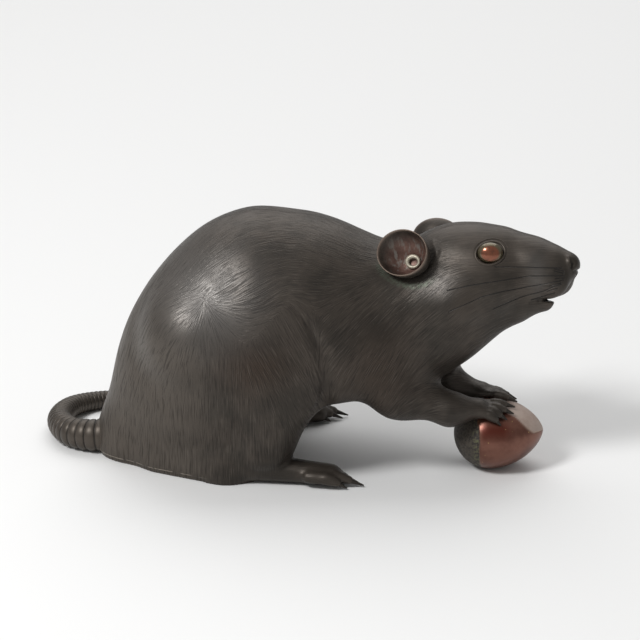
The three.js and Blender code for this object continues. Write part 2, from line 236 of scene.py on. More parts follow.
# Torso: rump, hump, chest and neck, hollowed underneath from the rump's base up to the belly.
def torso_field():
    masses = melt(
        [
            limb((-58.5, 1.5, 5), (-30, 0, 32), 19.5, 38.6, 0.8),
            limb((-30, 0, 32), (-13, 0, 46), 38.6, 43.5, 0.8),
            limb((-13, 0, 46), (4, -1, 48), 43.6, 36, 0.84),
            limb((4, -1, 48), (21, -2, 49), 36, 25.5, 0.88),
            limb((21, -2, 49), (42, -6, 58), 25.5, 19.5, 0.92),
            limb((42, -6, 58), (57, -9, 68), 20, 15, 0.95),
        ],
        12,
    )

    def field(p):
        belly = -14 + 42 * smooth(p[:, 0], -38, 8)
        return -blend(-masses(p), p[:, 2] - belly, 9)

    return field


def foot_reach(side):
    return 5 if side < 0 else 0


def hind_leg(side):
    reach = foot_reach(side)
    haunch = melt(
        [
            limb((-38, 16 * side, 50), (-10, 22 * side, 41), 22, 13),
            limb((-8, 23 * side, 37), (-17, 24.5 * side, 13), 12, 11),
            limb((-50, 10 * side, 3), (-30, 20.5 * side, 4), 12.5, 12),
        ],
        6,
    )
    foot = limb((-34 + reach, 24.5 * side, 5.5), (2 + reach, 30 * side, 3.6), 5.5, 3.4, 1.25)
    return melt([haunch, foot], 1.2)


# Toe tips from the inner toe to the outer one: forward, outward.
TOE_TIPS = [(-3, 24.5), (7, 27.5), (11.5, 30.5), (13.5, 33.5), (7.5, 36)]


def toe_ends(side):
    """Root and tip of each toe."""
    ends = []
    for i, (forward, outward) in enumerate(TOE_TIPS):
        spread = (i - 2) * 0.9 * TOE_RADIUS
        root = np.array([-6 + foot_reach(side), (30 + spread) * side, 4])
        ends.append((root, np.array([forward + foot_reach(side), outward * side, CLAW_RADIUS])))
    return ends


# Fore paws: the palm's place on the nut, and the finger tips, inner finger first.
PALM = {-1: (-0.48, -0.5), 1: (-0.36, 0.55)}
ELBOW = {-1: np.array([31, -20, 31]), 1: np.array([41, 7, 37])}
PALM_TO_WRIST = {-1: np.array([-10, -2.5, 0.6]), 1: np.array([-10.5, 3, 1])}
FINGER_TIPS = {
    -1: [(0.34, -0.32), (0.3, -0.54), (0.14, -0.72), (0, -0.84)],
    1: [(0.4, -0.04), (0.4, 0.2), (0.3, 0.45), (0.1, 0.7)],
}


def palm_of(side):
    return on_nut(*PALM[side], FINGER_RADIUS * 1.4)


def fore_leg(side):
    wrist = palm_of(side) + PALM_TO_WRIST[side]
    return melt(
        [
            limb((24, 16 * side, 46), ELBOW[side], 14, 9),
            limb(ELBOW[side], wrist, 9, 5),
            limb(wrist, palm_of(side), 5, 3.4, 1.3),
        ],
        5,
    )


def finger_ends(side):
    ends = []
    for i, (forward, outward) in enumerate(FINGER_TIPS[side]):
        root = palm_of(side) + [0, (i - 1.5) * 1.1 * FINGER_RADIUS * side, 0]
        ends.append((root, on_nut(forward, outward, CLAW_RADIUS)))
    return ends


def digit_line(root, tip, radius):
    """The arched middle line of a toe or finger with its claw."""
    knuckle = root + (tip - root) * 0.55 + [0, 0, radius * 0.65]
    return smooth_line([root, knuckle, tip], 15)


CLAW_START = 10  # of the 15 points of a digit's line


def digit_field(root, tip, radius):
    stops = digit_line(root, tip, radius)[: CLAW_START + 2 : 2]
    swell = [1.0, 1.0, 0.92, 1.04, 0.9, 0.72]
    return chain(list(stops), [radius * share for share in swell])


# Head, in its own frame.
def head_field():
    masses = [
        ellipsoid((-1, 0, 0.5), (20, 15.5, 14.5)),
        limb((8, 0, 0.3), (24, 0, -1.3), 12.5, 9.8, 0.9),
        limb((24, 0, -1.3), (31.8, 0, -2.2), 9.6, 6.6, 0.86),
        limb((14, 0, 3.8), (27, 0, 0.6), 8.2, 6, 0.9),
        limb((33, 0, 1), (37, 0, 0.8), 3.8, 3.2, 1.15),
        limb((-4, 0, -18), (16, 0, -12.2), 14, 7.4, 0.9),
        limb((16, 0, -12.2), (28.2, 0, -12.8), 7.4, 2.7),
    ]
    pads = []
    for side in SIDES:
        masses.append(ellipsoid((5, 8.5 * side, -6), (15, 8, 12)))
        masses.append(ellipsoid((-3, 12 * side, -13), (10, 8, 9)))
        pads.append(ellipsoid((31.6, 3.5 * side, -4.9), (5.8, 3.8, 5.9)))
    skull = melt([melt(masses, 5), *pads], 2)

    def from_side(side, stops, radii):
        """A chain along places (forward, up) on the skull, as seen from one side."""
        return chain(list(drop([(x, 30 * side, z) for x, z in stops], (0, -side, 0), skull)), radii)

    def from_front(stops, radii):
        """A chain along places (left, up) on the skull, as seen from in front."""
        return chain(list(drop([(60, y, z) for y, z in stops], (-1, 0, 0), skull)), radii)

    mouth = ellipsoid((34, 0, -12), (6.5, 7, 0.7))
    lip_groove = from_front([(0, -1.5), (0, -5), (0, -9)], [0.35, 0.45, 0.5])
    cuts = [mouth, lip_groove]
    ridges = []
    for side in SIDES:
        cuts.append(from_side(side, [(30, -11.7), (27, -12), (24, -12.7)], [0.7, 0.6, 0.3]))
        cuts.append(from_side(side, [(38.5, 2.4), (39, 1.1), (38.8, -0.3)], [0.4, 0.8, 0.6]))
        cuts.append(from_front([(0, -1.6), (2 * side, -1.6), (3.6 * side, -1.5)], [0.5, 0.55, 0.3]))
        nostril_curl = [(37.2, 3.4), (37.8, 2), (38.2, 0.6), (38.3, -0.6)]
        ridges.append(from_side(side, nostril_curl, [0.3, 0.5, 0.5, 0.3]))
        ear_fold = [(-9, 8.5), (-6.8, 5), (-7.5, 0.5), (-9.5, -3.5), (-12.5, -7)]
        ridges.append(from_side(side, ear_fold, [0.5, 0.8, 0.9, 0.8, 0.5]))
    raised = melt(ridges, 0.6)

    def field(p):
        q = to_head(p)
        d = blend(skull(q), raised(q), 0.8)
        for cut in cuts:
            d = -blend(-d, cut(q), 0.5)
        return d

    return field


# Crease between the flank and each thigh, as (forward, up). A radius below 0 only dents the skin.
KNEE_CREASE = [(-9, 69.5), (-1, 62), (4, 51), (5.5, 40), (4.5, 31)]
CREASE_RADII = [-2.5, -0.6, 0.7, 1.3, 1.7]
CREASE_SOFTNESS = 4


# Ear: a thin oval bowl that opens outwards and up. Its bottom sits at the ear's root.
EAR_OPENING = unit(np.array([-0.1, 0.96, 0.2]))
EAR_ROOTS = {-1: np.array([-14.5, -14.5, 1.2]), 1: np.array([-13.8, 14.5, 3])}


def ear_frame(side):
    """Turn and place of an ear. Its own frame has Y along the opening and the rim's centre at 0."""
    opening = EAR_OPENING * [1, side, 1]
    start = np.array([0, side, 0])
    axis = np.cross(start, opening)
    sine = np.linalg.norm(axis)
    cross = np.array([[0, -axis[2], axis[1]], [axis[2], 0, -axis[0]], [-axis[1], axis[0], 0]])
    swing = np.eye(3) + cross + cross @ cross * (1 - opening @ start) / sine**2
    lean = np.array([[EAR_WIDE, -EAR_LEAN * side, 0], [0, 1, 0], [0, EAR_LEAN * side, EAR_HIGH]])
    turn = HEAD_TURN @ swing @ lean
    bottom = turn @ [0, -EAR_DEPTH * side, 0]
    return turn, from_head(EAR_ROOTS[side]) - bottom


def ear_socket(side):
    turn, place = ear_frame(side)
    back = np.linalg.inv(turn)
    radius = EAR_RADIUS + 0.15
    bowl = ellipsoid((0, 0, 0), (radius, EAR_DEPTH + 0.15, radius))

    def field(p):
        q = (p - place) @ back.T
        level = q[:, 1] * side
        open_front = np.maximum(np.hypot(q[:, 0], q[:, 2]) - radius, level - EAR_DEPTH)
        return np.where(level > 0, open_front, bowl(q))

    return field


def eye_turn(side):
    return turned(z=-16 * side)


def eye_socket(side):
    mirror = np.array([1, side, 1])
    bead = ellipsoid(EYE_PLACE * mirror, EYE_RADII + 0.35, eye_turn(side))
    return lambda p: bead(to_head(p))


# The tail leaves the rump, turns back round the left side and lies along the flank to its tip.
TAIL_PLAN = [
    (-72, 1.4),
    (-79, 1),
    (-88, 6),
    (-93, 20),
    (-89, 35),
    (-76, 43.5),
    (-55, 44.5),
    (-33, 44),
    (-14, 43),
]


def tail_radius(t):
    share = 1.55 * t - 0.55 * t * t
    return TAIL_ROOT_RADIUS + (TAIL_TIP_RADIUS - TAIL_ROOT_RADIUS) * share


def tail_line(count):
    plan = smooth_line(TAIL_PLAN, count)
    height = tail_radius(np.linspace(0, 1, count)) + TAIL_CLEARANCE
    return np.column_stack([plan, height])


def skin_field():
    """The whole rat without its ears, eyes and tail, before anything is cut from it."""
    fore_legs = [fore_leg(side) for side in SIDES]
    hind_legs = [hind_leg(side) for side in SIDES]
    trunk = melt([melt([torso_field(), *fore_legs, head_field()], 7), *hind_legs], 5)
    creases = []
    digits = []
    for side in SIDES:
        line = drop([(x, 60 * side, z) for x, z in KNEE_CREASE], (0, -side, 0), trunk)
        creases.append(chain(list(line), CREASE_RADII))
        digits += [digit_field(*ends, TOE_RADIUS) for ends in toe_ends(side)]
        digits += [digit_field(*ends, FINGER_RADIUS) for ends in finger_ends(side)]
    fan = melt(digits, 0.5)

    def field(p):
        d = trunk(p)
        for crease in creases:
            d = -blend(-d, crease(p), CREASE_SOFTNESS)
        return blend(d, fan(p), 1.6)

    return field


RAT_SKIN = skin_field()


def rat_field(p):
    height = p[:, 2]
    under_rump = smooth(-height, -SEAM_HEIGHT - 0.2, -SEAM_HEIGHT)
    d = RAT_SKIN(p) + SEAM_DEPTH * under_rump * smooth(-p[:, 0], -SEAM_END - 1, -SEAM_END + 1)
    d = np.maximum(d, -height)
    d = np.maximum(d, -nut_field(p))
    for side in SIDES:
        d = np.maximum(d, -ear_socket(side)(p))
        d = np.maximum(d, -eye_socket(side)(p))
    return d


def gradient(field, p, reach):
    steps = reach * np.eye(3)
    return np.column_stack([field(p + step) - field(p - step) for step in steps]) / (2 * reach)


def settle(field, p, rounds=2):
    """Moves points on to a field's zero surface."""
    for _ in range(rounds):
        slope = gradient(field, p, 0.04)
        steep = np.maximum((slope**2).sum(1), 0.2)
        p = p - slope * (field(p) / steep)[:, None]
    return p


def lines(*spans):
    """Grid lines over spans of (low, high, step)."""
    return np.concatenate([np.arange(low, high, step) for low, high, step in spans])


def skin(field, xs, ys, zs):
    """Meshes a field's zero surface: one vertex in each grid cell that the surface crosses."""
    plane = np.stack(np.meshgrid(ys, zs, indexing="ij"), -1).reshape(-1, 2)
    value = [field(np.column_stack([np.full(len(plane), x), plane])) for x in xs]
    value = np.reshape(value, (len(xs), len(ys), len(zs)))
    rulings = (xs, ys, zs)
    total = np.zeros((value.size, 3))
    count = np.zeros(value.size)
    quads = []
    for axis in range(3):
        run, a, b = (np.eye(3, dtype=int)[(axis + n) % 3] for n in range(3))
        inside = value < 0
        corner = np.argwhere(np.delete(inside, -1, axis) != np.delete(inside, 0, axis))
        start = value[tuple(corner.T)]
        end = value[tuple((corner + run).T)]
        place = np.column_stack([ruling[c] for ruling, c in zip(rulings, corner.T)])
        ahead = np.column_stack([ruling[c] for ruling, c in zip(rulings, (corner + run).T)])
        place += (ahead - place) * (start / (start - end))[:, None]
        cells = []
        for back in (0 * run, a, a + b, b):
            cell = np.ravel_multi_index(tuple((corner - back).T), value.shape)
            count += np.bincount(cell, minlength=value.size)
            for e in range(3):
                total[:, e] += np.bincount(cell, place[:, e], value.size)
            cells.append(cell)
        quad = np.column_stack(cells)
        quads.append(np.where((start < 0)[:, None], quad, quad[:, ::-1]))
    used = np.flatnonzero(count)
    number = np.zeros(value.size, int)
    number[used] = np.arange(len(used))
    return total[used] / count[used, None], number[np.vstack(quads)].tolist()


def tube(line, radii, sides, closed=False):
    """A tube along a line of points, with a radius at each; a closed one joins its ends."""
    line = np.asarray(line)
    count = len(line)
    if closed:
        ahead = np.roll(line, -1, axis=0) - np.roll(line, 1, axis=0)
    else:
        ahead = np.gradient(line, axis=0)
    ahead = unit(ahead)
    normal = np.cross(ahead[0], [0.31, 0.17, 0.94])
    normals = []
    for direction in ahead:
        normal = unit(normal - direction * (normal @ direction))
        normals.append(normal)
    normals = np.array(normals)
    binormals = np.cross(ahead, normals)
    angle = np.linspace(0, 2 * math.pi, sides, endpoint=False)[None, :, None]
    rim = normals[:, None] * np.cos(angle) + binormals[:, None] * np.sin(angle)
    radii = np.broadcast_to(radii, count)
    points = line[:, None] + rim * radii[:, None, None]
    faces = []
    for i in range(count if closed else count - 1):
        for j in range(sides):
            here, there = i * sides, (i + 1) % count * sides
            k = (j + 1) % sides
            faces.append((here + j, here + k, there + k, there + j))
    if not closed:
        last = (count - 1) * sides
        faces.append(tuple(range(sides))[::-1])
        faces.append(tuple(range(last, last + sides)))
    return points.reshape(-1, 3), faces


# The frame's place against the sizes above, from the nut.
nut_low, nut_high = (np.array(corner) * 1000 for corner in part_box("chestnut"))
nut_tip = NUT_CENTRE[0] + (1 - NUT_WAIST) * NUT_LENGTH * math.cos(NUT_TILT)
SHIFT = np.array([nut_high[0] - nut_tip, (nut_low[1] + nut_high[1]) / 2 - NUT_CENTRE[1], 0])


class Shells:
    """Closed surfaces that become one mesh, with up to three values in each named mark."""

    def __init__(self, *marks):
        self.points = []
        self.faces = []
        self.marks = {mark: [] for mark in marks}
        self.size = 0

    def add(self, surface, **marks):
        points, faces = surface
        self.points.append(points)
        self.faces += [tuple(n + self.size for n in face) for face in faces]
        for mark, rows in self.marks.items():
            rows.append(np.broadcast_to(marks.get(mark, (0, 0, 0)), (len(points), 3)))
        self.size += len(points)

    def piece(self, name, material, slot, node):
        mesh = bpy.data.meshes.new(name)
        points = (np.vstack(self.points) + SHIFT) / 1000
        mesh.from_pydata(points.tolist(), [], self.faces)
        for mark, rows in self.marks.items():
            layer = mesh.attributes.new(mark, "FLOAT_VECTOR", "POINT")
            layer.data.foreach_set("vector", np.vstack(rows).astype(np.float32).ravel())
        mesh.polygons.foreach_set("use_smooth", [True] * len(mesh.polygons))
        mesh.materials.append(material)
        mesh.update()
        piece = bpy.data.objects.new(name, mesh)
        bpy.context.scene.collection.objects.link(piece)
        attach(piece, "root")
        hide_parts(node)
        return piece


class Shader:
    """A material whose nodes are wired in short form. Each method gives a socket."""

    def __init__(self, name):
        self.material = bpy.data.materials.new(name)
        self.material.use_nodes = True
        self.tree = self.material.node_tree
        self.surface = self.tree.nodes["Principled BSDF"]

    def node(self, kind, inputs, **settings):
        node = self.tree.nodes.new(kind)
        for key, value in settings.items():
            setattr(node, key, value)
        for key, value in inputs.items():
            self.feed(node.inputs[key], value)
        return node

    def feed(self, socket, value):
        if isinstance(value, bpy.types.NodeSocket):
            self.tree.links.new(value, socket)
        elif socket.type == "RGBA":
            socket.default_value = (*value, 1)
        else:
            socket.default_value = value

    def math(self, operation, *values):
        inputs = dict(enumerate(values))
        return self.node("ShaderNodeMath", inputs, operation=operation).outputs[0]

    def vector(self, operation, *values):
        node = self.node("ShaderNodeVectorMath", dict(enumerate(values)), operation=operation)
        return node.outputs["Value" if operation in ("DOT_PRODUCT", "LENGTH") else "Vector"]

    def split(self, vector):
        return self.node("ShaderNodeSeparateXYZ", {0: vector}).outputs[:]

    def join(self, x, y, z):
        return self.node("ShaderNodeCombineXYZ", {0: x, 1: y, 2: z}).outputs[0]

    def mark(self, name):
        node = self.node("ShaderNodeAttribute", {}, attribute_name=name)
        return node.outputs["Vector"]

    def place(self):
        """Position in millimetres."""
        spot = self.node("ShaderNodeTexCoord", {}).outputs["Object"]
        return self.vector("MULTIPLY", spot, (1000, 1000, 1000))

    def noise(self, place, size, detail=2, roughness=0.5):
        """Noise from 0 to 1 with patches of about that size in millimetres."""
        inputs = {"Vector": place, "Scale": 1 / size, "Detail": detail, "Roughness": roughness}
        return self.node("ShaderNodeTexNoise", inputs).outputs[0]

    def span(self, value, low, high, out_low=0, out_high=1):
        inputs = {0: value, 1: low, 2: high, 3: out_low, 4: out_high}
        return self.node("ShaderNodeMapRange", inputs, interpolation_type="SMOOTHSTEP").outputs[0]

    def mix(self, share, a, b):
        inputs = {0: share, 6: a, 7: b}
        return self.node("ShaderNodeMix", inputs, data_type="RGBA").outputs[2]

    def fade(self, share, a, b):
        return self.node("ShaderNodeMix", {0: share, 2: a, 3: b}).outputs[0]

    def bump(self, height, depth, below=None):
        """Relief of that depth in millimetres."""
        inputs = {"Height": height, "Distance": depth / 1000, "Strength": 1}
        if below is not None:
            inputs["Normal"] = below
        return self.node("ShaderNodeBump", inputs).outputs[0]

    def finish(self, colour, metallic, roughness, normal, **constants):
        self.feed(self.surface.inputs["Base Color"], colour)
        self.feed(self.surface.inputs["Metallic"], metallic)
        self.feed(self.surface.inputs["Roughness"], roughness)
        self.feed(self.surface.inputs["Normal"], normal)
        for key, value in constants.items():
            self.feed(self.surface.inputs[key.replace("_", " ")], value)
        return self.material


def drawn_noise(s, x, rise, depth, slope, shift):
    """Noise drawn out along a slope in the plane of x and rise."""
    right = s.math("COSINE", slope)
    up = s.math("SINE", slope)
    along = s.math("MULTIPLY_ADD", x, right, s.math("MULTIPLY", rise, up))
    across = s.math("SUBTRACT", s.math("MULTIPLY", rise, right), s.math("MULTIPLY", x, up))
    grain = s.join(
        s.math("MULTIPLY_ADD", along, 1 / HAIR_LENGTH, shift),
        s.math("DIVIDE", across, HAIR_PITCH),
        s.math("DIVIDE", depth, HAIR_LENGTH),
    )
    return s.noise(grain, 1, detail=1)


def hair_lines(s, place, flow, lie):
    """Chased hair along the flow, blended between the set slopes and planes nearest to it."""
    x, y, z = s.split(place)
    cosine, sine, _ = s.split(flow)
    tilt, side, _ = s.split(lie)
    turn = s.math("ARCTAN2", sine, cosine)
    slopes = s.math("MULTIPLY_ADD", turn, HAIR_SLOPES / (2 * math.pi), HAIR_SLOPES / 2)
    tilts = s.math("MULTIPLY_ADD", tilt, HAIR_TILTS / math.pi, HAIR_TILTS / 2)
    slope_floor = s.math("FLOOR", slopes)
    tilt_floor = s.math("FLOOR", tilts)
    outward = s.math("MULTIPLY", y, side)
    planes = []
    for tilt_step in (0, 1):
        tilt_number = s.math("ADD", tilt_floor, tilt_step)
        lean = s.math("MULTIPLY_ADD", tilt_number, math.pi / HAIR_TILTS, -math.pi / 2)
        cos_lean = s.math("COSINE", lean)
        sin_lean = s.math("SINE", lean)
        rise = s.math("SUBTRACT", s.math("MULTIPLY", z, cos_lean), s.math("MULTIPLY", outward, sin_lean))
        depth = s.math("MULTIPLY_ADD", outward, cos_lean, s.math("MULTIPLY", z, sin_lean))
        layers = []
        for slope_step in (0, 1):
            number = s.math("MODULO", s.math("ADD", slope_floor, slope_step), HAIR_SLOPES)
            slope = s.math("MULTIPLY_ADD", number, math.pi / HAIR_SLOPES, -math.pi / 2)
            shift = s.math("MULTIPLY_ADD", number, 7.3, s.math("MULTIPLY", tilt_number, 3.1))
            layers.append(drawn_noise(s, x, rise, depth, slope, shift))
        planes.append(s.fade(s.math("SUBTRACT", slopes, slope_floor), *layers))
    return s.fade(s.math("SUBTRACT", tilts, tilt_floor), *planes)


# Whiskers cut into the cheeks, as (forward, up) in the head's frame.
WHISKERS = [
    [(36.5, -2.9), (25.2, -3), (6.7, -5.9), (-1.8, -7.8)],
    [(36.3, -4.4), (30.3, -5.8), (17.2, -8.1), (9.7, -10.1), (-1.1, -15.2)],
    [(35.5, -5.9), (29, -8.5), (21.6, -10.5), (12.8, -14.5)],
    [(36.3, -1.3), (33.6, -0.6)],
    [(36.3, -2), (33.3, -1.3)],
    [(36.5, -3.7), (33.7, -3.9)],
    [(35.5, -5.4), (31.6, -6.6)],
    [(34.1, -7.5), (30.7, -8.5)],
    [(33.2, -9), (24.7, -11.6)],
    [(35.8, -0.3), (13.9, 0.3)],
]
WHISKER_WIDTH = 0.27


def whisker_lines(s, place):
    """1 in the middle of an incised whisker and 0 outside it."""
    origin = HEAD_PLACE + SHIFT
    from_origin = s.vector("SUBTRACT", place, tuple(origin))
    forward = s.vector("DOT_PRODUCT", from_origin, tuple(HEAD_TURN[:, 0]))
    up = s.vector("DOT_PRODUCT", from_origin, tuple(HEAD_TURN[:, 2]))
    spot = s.join(forward, up, 0)
    nearest = None
    for whisker in WHISKERS:
        for start, end in zip(whisker, whisker[1:]):
            run = np.array([end[0] - start[0], end[1] - start[1], 0])
            offset = s.vector("SUBTRACT", spot, (*start, 0))
            share = s.vector("DOT_PRODUCT", offset, tuple(run / (run @ run)))
            share = s.math("MINIMUM", s.math("MAXIMUM", share, 0), 1)
            foot = s.vector("MULTIPLY", tuple(run), s.join(share, share, share))
            distance = s.vector("LENGTH", s.vector("SUBTRACT", offset, foot))
            nearest = distance if nearest is None else s.math("MINIMUM", nearest, distance)
    return s.span(nearest, 0, WHISKER_WIDTH, 1, 0)


def bronze_material():
    """Dark patinated bronze. Marks: hair (flow, strength), lie (tilt, side, painted rump sheen), tone,
    and verdigris, tail joint and rubbed wear with painted highlights.
    """
    s = Shader("dark bronze")
    place = s.place()
    flow = s.mark("hair")
    lie = s.mark("lie")
    strength = s.split(flow)[2]
    rump_sheen = s.split(lie)[2]
    edge, hollow, brown = s.split(s.mark("tone"))
    verdigris, pale, polish_and_highlight = s.split(s.mark("dirt_and_highlight"))
    hair = hair_lines(s, place, flow, lie)
    groove = s.math("MULTIPLY", s.span(hair, 0.5, 0.38), strength)
    crest = s.math("MULTIPLY", s.span(hair, 0.54, 0.66), strength)
    whisker = whisker_lines(s, place)
    cloud = s.noise(place, 16, 3, 0.6)
    speck = s.noise(place, 0.8, 2, 0.7)
    x, _, z = s.split(place)
    off_seam = s.math("ABSOLUTE", s.math("SUBTRACT", z, SEAM_HEIGHT + 0.25))
    seam = s.math("MULTIPLY", s.span(off_seam, 0.35, 0.1), s.span(x, SEAM_END + 5, SEAM_END - 5))
    seam = s.math("MULTIPLY", s.math("MULTIPLY", seam, strength), s.span(s.noise(place, 3), 0.38, 0.5))

    colour = s.mix(s.span(cloud, 0.35, 0.65), (0.037, 0.031, 0.025), (0.064, 0.052, 0.042))
    # painted sheen: the rump is painted lighter towards its rear, where the light grazes it
    colour = s.mix(s.math("MULTIPLY", rump_sheen, 0.8), colour, (0.094, 0.079, 0.065))
    colour = s.mix(s.math("MULTIPLY", brown, 0.9), colour, (0.040, 0.025, 0.016))
    # partly rubbed wear round the whorl, partly painted highlights on the whorl, the muzzle and the cheek
    colour = s.mix(s.math("MULTIPLY", polish_and_highlight, 0.8), colour, (0.165, 0.156, 0.148))
    colour = s.mix(s.math("MULTIPLY", edge, 0.6), colour, (0.130, 0.108, 0.088))
    colour = s.mix(s.math("MULTIPLY", crest, 0.3), colour, (0.135, 0.115, 0.097))
    colour = s.mix(s.math("MULTIPLY", hollow, 0.7), colour, (0.012, 0.011, 0.010))
    colour = s.mix(s.math("MULTIPLY", groove, 0.45), colour, (0.012, 0.010, 0.009))
    colour = s.mix(s.span(speck, 0.70, 0.78, 0, 0.3), colour, (0.17, 0.15, 0.12))
    colour = s.mix(s.math("MULTIPLY", verdigris, s.span(speck, 0.3, 0.6)), colour, (0.075, 0.09, 0.065))
    colour = s.mix(s.math("MULTIPLY", pale, s.span(speck, 0.2, 0.6)), colour, (0.26, 0.23, 0.19))
    colour = s.mix(seam, colour, (0.32, 0.28, 0.23))
    colour = s.mix(s.math("MULTIPLY", whisker, 0.9), colour, (0.005, 0.005, 0.005))

    rough = s.fade(cloud, 0.38, 0.50)
    rough = s.math("ADD", rough, s.math("MULTIPLY", groove, 0.15))
    rough = s.math("SUBTRACT", rough, s.math("MULTIPLY", polish_and_highlight, 0.05))
    relief = s.bump(s.math("MULTIPLY", hair, strength), 0.2)
    relief = s.bump(s.math("MULTIPLY", whisker, -1), 0.2, relief)
    relief = s.bump(speck, 0.02, relief)
    return s.finish(colour, 0.55, rough, relief)


def ear_material():
    """Ears of bronze, copper-brown inside, with a painted highlight along the rim. Mark: tone (inside,
    rim highlight, canal).
    """
    s = Shader("ear copper")
    place = s.place()
    inside, rim, canal = s.split(s.mark("tone"))
    cloud = s.noise(place, 5, 3, 0.6)
    streak = s.noise(s.vector("MULTIPLY", place, (1, 1, 0.3)), 1.6, 3, 0.6)
    fine = s.noise(place, 0.6, 2, 0.6)
    patches = s.span(cloud, 0.35, 0.65)
    outer = s.mix(patches, (0.040, 0.033, 0.027), (0.064, 0.052, 0.042))
    inner = s.mix(patches, (0.090, 0.044, 0.033), (0.150, 0.082, 0.064))
    inner = s.mix(s.span(streak, 0.5, 0.65, 0, 0.8), inner, (0.20, 0.18, 0.16))
    colour = s.mix(inside, outer, inner)
    # painted highlight along the rim's edge
    colour = s.mix(s.math("MULTIPLY", rim, 0.7), colour, (0.26, 0.19, 0.15))
    colour = s.mix(canal, colour, (0.44, 0.40, 0.32))
    colour = s.mix(s.span(fine, 0.45, 0.25, 0, 0.4), colour, (0.02, 0.018, 0.015))
    relief = s.bump(fine, 0.08)
    return s.finish(colour, 0.5, s.fade(cloud, 0.34, 0.5), relief)


def eye_material():
    """Polished copper bead. Mark: tone (iris, -, -)."""
    s = Shader("eye copper")
    place = s.place()
    iris = s.split(s.mark("tone"))[0]
    cloud = s.noise(place, 1.2, 2)
    colour = s.mix(iris, (0.12, 0.10, 0.06), (0.22, 0.075, 0.040))
    colour = s.mix(s.span(cloud, 0.5, 0.7, 0, 0.5), colour, (0.09, 0.035, 0.02))
    relief = s.bump(cloud, 0.01)
    return s.finish(colour, 0.6, s.fade(cloud, 0.18, 0.28), relief, Coat_Weight=0.3)


def nut_material():
    """Chestnut: dusty red copper, a rough dark scar at the dull end, a pale painted reflection on one
    side.
    """
    s = Shader("nut copper")
    place = s.place()
    scar, band, keel = s.split(s.mark("tone"))
    pale, green, _ = s.split(s.mark("worn"))
    cloud = s.noise(place, 6, 3, 0.6)
    grain = s.noise(place, 0.9, 3, 0.7)
    speck = s.noise(place, 1.1, 1, 0.5)
    copper = s.mix(s.span(cloud, 0.3, 0.7), (0.125, 0.050, 0.034), (0.195, 0.086, 0.060))
    copper = s.mix(band, copper, (0.105, 0.020, 0.010))
    copper = s.mix(s.span(speck, 0.76, 0.80, 0, 0.8), copper, (0.45, 0.30, 0.12))
    taupe = s.mix(s.span(cloud, 0.35, 0.65), (0.33, 0.245, 0.205), (0.40, 0.315, 0.27))
    # painted reflection: the pale side stands in for the light surroundings mirrored in the copper
    copper = s.mix(pale, copper, taupe)
    copper = s.mix(s.math("MULTIPLY", keel, 0.7), copper, (0.45, 0.34, 0.27))
    husk = s.mix(s.span(grain, 0.35, 0.6), (0.020, 0.016, 0.013), (0.072, 0.060, 0.046))
    husk = s.mix(s.math("MULTIPLY", green, s.span(grain, 0.5, 0.66, 0, 0.7)), husk, (0.14, 0.15, 0.06))
    colour = s.mix(scar, copper, husk)
    rough = s.fade(scar, s.fade(pale, s.fade(cloud, 0.24, 0.36), 0.6), 0.62)
    relief = s.bump(s.math("MULTIPLY", grain, scar), 0.4)
    relief = s.bump(keel, 0.12, relief)
    relief = s.bump(grain, 0.012, relief)
    metallic = s.math("MULTIPLY", s.fade(scar, 0.55, 0.2), s.math("SUBTRACT", 1, pale))
    return s.finish(colour, metallic, rough, relief)


# Hair flow: (forward, up, slope in degrees, reach). The slope is as seen from the rat's right side.
HAIR_GUIDES = [
    (-70, 30, 80, 14),
    (-58, 55, 65, 14),
    (-45, 75, 42, 13),
    (-22, 86, 18, 12),
    (5, 84, -12, 14),
    (-38, 80, 35, 10),
    (-20, 72, 32, 11),
    (-5, 60, 122, 9),
    (-55, 20, 88, 16),
    (-32, 20, 92, 16),
    (-40, 45, 88, 10),
    (-8, 50, 118, 9),
    (-5, 38, 112, 9),
    (12, 62, 42, 12),
    (20, 48, 57, 13),
    (24, 34, 70, 10),
    (34, 66, 38, 10),
    (42, 55, 50, 9),
    (48, 66, 45, 8),
    (38, 32, 20, 8),
    (52, 28, 3, 8),
    (58, 85, 4, 12),
    (72, 78, 0, 10),
    (62, 66, 25, 9),
    (86, 74, -4, 10),
    (0, 4, 4, 8),
]
WHORL = np.array([-37, 69])
WHORL_REACH = 19


def hair_flow(p):
    """Cosine and sine of twice the slope, and how strongly the hair shows."""
    spot = p[:, [0, 2]]
    total = np.zeros((len(p), 2))
    for x, z, slope, reach in HAIR_GUIDES:
        weight = np.exp(-((spot - [x, z]) ** 2).sum(1) / reach**2) + 1e-9
        twice = 2 * math.radians(slope)
        total += weight[:, None] * [math.cos(twice), math.sin(twice)]
    total = unit(total)
    offset = spot - WHORL
    distance = np.linalg.norm(offset, axis=1)
    twice = 2 * np.arctan2(offset[:, 1], offset[:, 0])
    fan = np.exp(-((distance / WHORL_REACH) ** 4)) * smooth(-offset[:, 1], -5, 3)
    radial = np.column_stack([np.cos(twice), np.sin(twice)])
    total = unit(total * (1 - fan)[:, None] + radial * fan[:, None] + 1e-6)
    head = to_head(p)
    on_head = smooth(head[:, 0], -12, 4) * smooth(head[:, 2], -26, -12)
    paws = smooth(p[:, 0], 44, 52) * smooth(-p[:, 2], -34, -26)
    feet = smooth(-p[:, 2], -9, -5) * smooth(p[:, 0], -30, -16)
    nose = smooth(head[:, 0], 33, 36)
    base = smooth(-p[:, 2], -0.6, -0.1)
    strength = (1 - 0.5 * on_head) * (1 - 0.5 * paws) * (1 - 0.6 * feet) * (1 - nose) * (1 - base)
    return np.column_stack([total, strength])


def spot_light(p, centre, reach):
    """1 at a place and fading to 0 beyond the reach."""
    return np.exp(-(((p - centre) / reach) ** 2).sum(1))


